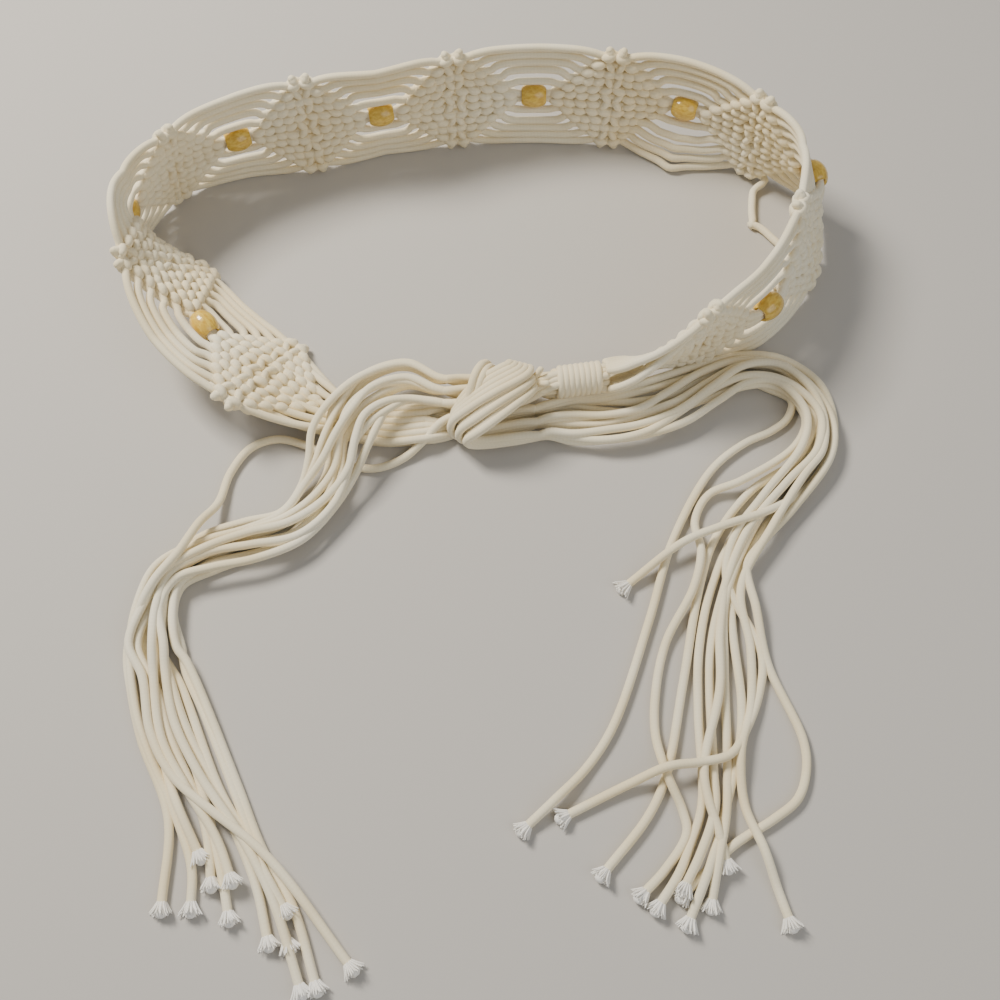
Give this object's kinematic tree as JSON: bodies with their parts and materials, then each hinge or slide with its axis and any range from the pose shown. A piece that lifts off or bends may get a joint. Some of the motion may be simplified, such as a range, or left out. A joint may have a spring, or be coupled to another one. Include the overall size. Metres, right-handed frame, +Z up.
{
  "type": "rope belt",
  "caption": "Knotted cotton cord belt with wooden barrel beads in a woven band, tied in front with a half knot and two long free tails, laid flat in a loop.",
  "frame": {"origin": "middle of the belt's box on the surface it lies on", "axes": "+Z up from the surface, +X towards the end with the wrapped knot, +Y from the free tails towards the back of the loop"},
  "size_m": [0.3034, 0.3694, 0.0523],
  "materials": {
    "cotton_cord": "undyed braided cotton cord, matte",
    "varnished_wood": "yellow stained wood under clear gloss varnish"
  },
  "bodies": {
    "root": {"macrame_band": "cotton_cord", "bead_1": "varnished_wood", "bead_2": "varnished_wood", "bead_3": "varnished_wood", "bead_4": "varnished_wood", "bead_5": "varnished_wood", "bead_6": "varnished_wood", "bead_7": "varnished_wood", "bead_8": "varnished_wood", "gathering_knot": "cotton_cord", "tie_knot": "cotton_cord", "left_tail": "cotton_cord", "right_tail": "cotton_cord"}
  },
  "joints": []
}
